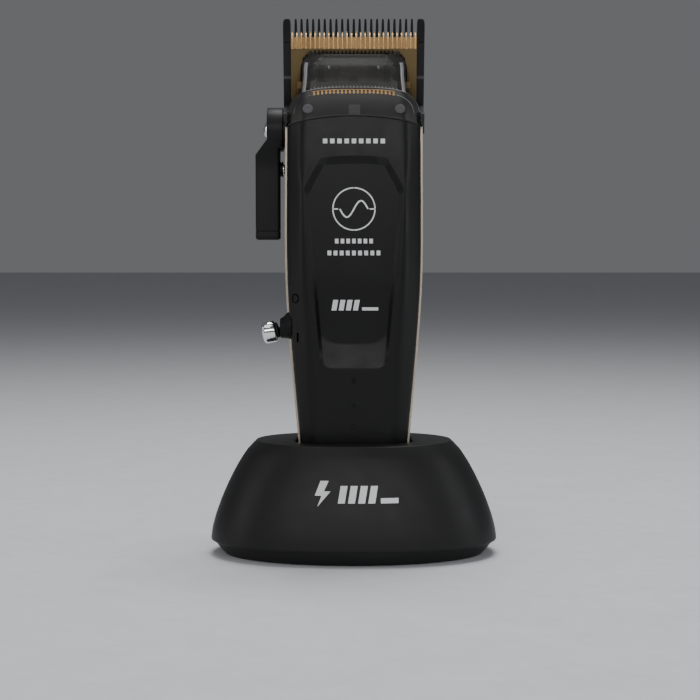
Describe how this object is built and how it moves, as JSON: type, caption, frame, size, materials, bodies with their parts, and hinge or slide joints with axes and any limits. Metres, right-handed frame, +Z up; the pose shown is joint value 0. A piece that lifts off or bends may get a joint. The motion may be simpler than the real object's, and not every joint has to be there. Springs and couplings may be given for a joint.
{
  "type": "hair clipper with charging dock",
  "caption": "Cordless hair clipper with a side taper lever, toggle switch and comb blades, standing upright in an oval charging dock.",
  "frame": {"origin": "middle of the dock's underside, on the plane of its feet", "axes": "+Z up along the clipper, -Y the clipper's front, +X to the right seen from the front"},
  "size_m": [0.0944, 0.06, 0.1755],
  "materials": {
    "housing_black": "satin black with fine texture",
    "dock_black": "soft satin black",
    "liner_black": "matt",
    "lever_black": "satin",
    "trim_bronze": "anodised bronze",
    "smoked_plastic": "smoked, polished",
    "frame_grey": "cast, dark grey",
    "blade_black": "black hard coating",
    "blade_gold": "gold titanium coating",
    "gold_trim": "gold",
    "chrome": "polished",
    "steel": "brushed",
    "screw_dark": "dark",
    "contact_gold": "gold plated",
    "port_steel": "plain",
    "motor_metal": "plain",
    "cell_wrap": "shrink wrap",
    "board_green": "solder mask",
    "yoke_dark": "moulded",
    "lens_smoke": "smoked",
    "foot_rubber": "matt"
  },
  "bodies": {
    "dock": {"dock_shell": "dock_black", "dock_base": "dock_black", "dock_well": "liner_black", "dock_feet": "foot_rubber", "dock_board": "board_green", "dock_screws": "steel", "ballast_plate": "steel", "dock_socket": "port_steel", "pin_block": "liner_black"},
    "clipper": {"front_housing": "housing_black", "rear_housing": "housing_black", "side_trim": "trim_bronze", "tail_cap": "housing_black", "charging_contacts": "contact_gold", "charge_port": "port_steel", "housing_screws": "steel", "nose_collar": "smoked_plastic", "collar_screws": "screw_dark", "vent_comb": "gold_trim", "nose_frame": "frame_grey", "blade_hood": "smoked_plastic", "fixed_blade": "blade_black", "blade_screws": "steel", "motor_can": "motor_metal", "motor_bearing": "steel", "motor_bracket": "steel", "motor_screws": "steel", "battery_cell": "cell_wrap", "battery_cradle": "liner_black", "control_board": "board_green", "indicator_lenses": "lens_smoke", "switch_body": "liner_black", "switch_boss": "housing_black", "lever_bush": "liner_black"},
    "lever": {"taper_lever": "lever_black", "lever_screw": "chrome", "lever_detent": "steel", "lever_cam": "steel"},
    "carrier": {"blade_guide": "liner_black", "tension_spring": "steel"},
    "cutter": {"moving_blade": "blade_gold", "drive_yoke": "yoke_dark"},
    "rotor": {"motor_shaft": "steel", "crank_eccentric": "steel"},
    "toggle": {"toggle_stem": "chrome", "toggle_knob": "chrome"},
    "pins": {"charging_pins": "contact_gold"}
  },
  "joints": [
    {"name": "clipper_lift", "type": "slide", "parent": "dock", "child": "clipper", "axis": [0, 0, 1], "range_m": [0, 0.05]},
    {"name": "taper_lever", "type": "hinge", "parent": "clipper", "child": "lever", "pos_m": [-0.0231, 0.003, 0.1392], "axis": [1, 0, 0], "range_deg": [0, 40]},
    {"name": "blade_taper", "type": "slide", "parent": "clipper", "child": "carrier", "axis": [0, -0.2588, 0.9659], "range_m": [0, 0.0024]},
    {"name": "cutter_stroke", "type": "slide", "parent": "carrier", "child": "cutter", "axis": [1, 0, 0], "range_m": [-0.0015, 0.0015]},
    {"name": "motor_spin", "type": "hinge", "parent": "clipper", "child": "rotor", "pos_m": [0, 0.0043, 0.12], "axis": [0, 0, 1], "continuous": true},
    {"name": "power_toggle", "type": "hinge", "parent": "clipper", "child": "toggle", "pos_m": [-0.0195, -0.00675, 0.0752], "axis": [0, 1, 0], "range_deg": [0, 25]},
    {"name": "pin_travel", "type": "slide", "parent": "dock", "child": "pins", "axis": [0, 0, 1], "range_m": [-0.001, 0], "stiffness_N_per_m": 300}
  ],
  "couplings": [
    {"joint": "blade_taper", "follows": "taper_lever", "m_per_rad": 0.0034377}
  ]
}
